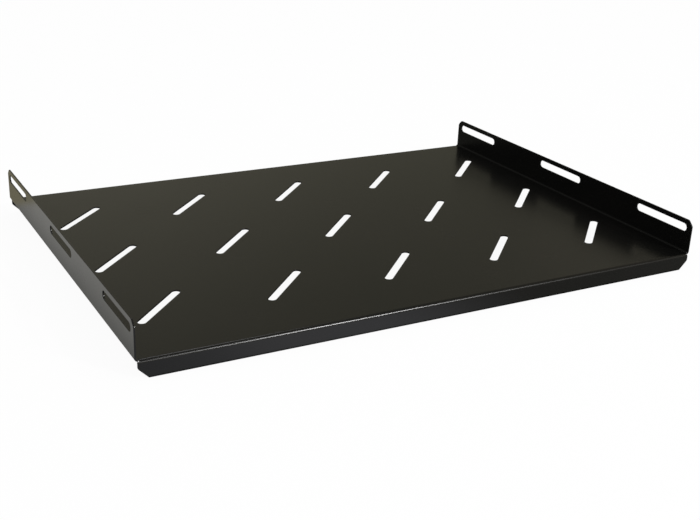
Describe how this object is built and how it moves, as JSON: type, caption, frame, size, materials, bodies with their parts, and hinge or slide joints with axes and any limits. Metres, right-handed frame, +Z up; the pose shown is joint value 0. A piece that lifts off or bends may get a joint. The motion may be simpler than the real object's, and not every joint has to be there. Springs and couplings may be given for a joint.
{
  "type": "rack shelf",
  "caption": "Folded steel rack shelf: vented deck with slanted slots, upturned side flanges with long bolt slots, and downturned front and rear lips.",
  "frame": {"origin": "middle of the shelf, level with the bottom edges of the front and rear lips it stands on", "axes": "+X to the right seen from the front, +Y from the front lip to the rear lip, +Z up out of the deck"},
  "size_m": [0.482, 0.35, 0.0416],
  "materials": {
    "black_powder_coat": "satin"
  },
  "bodies": {
    "root": {"rack_shelf": "black_powder_coat"}
  },
  "joints": []
}
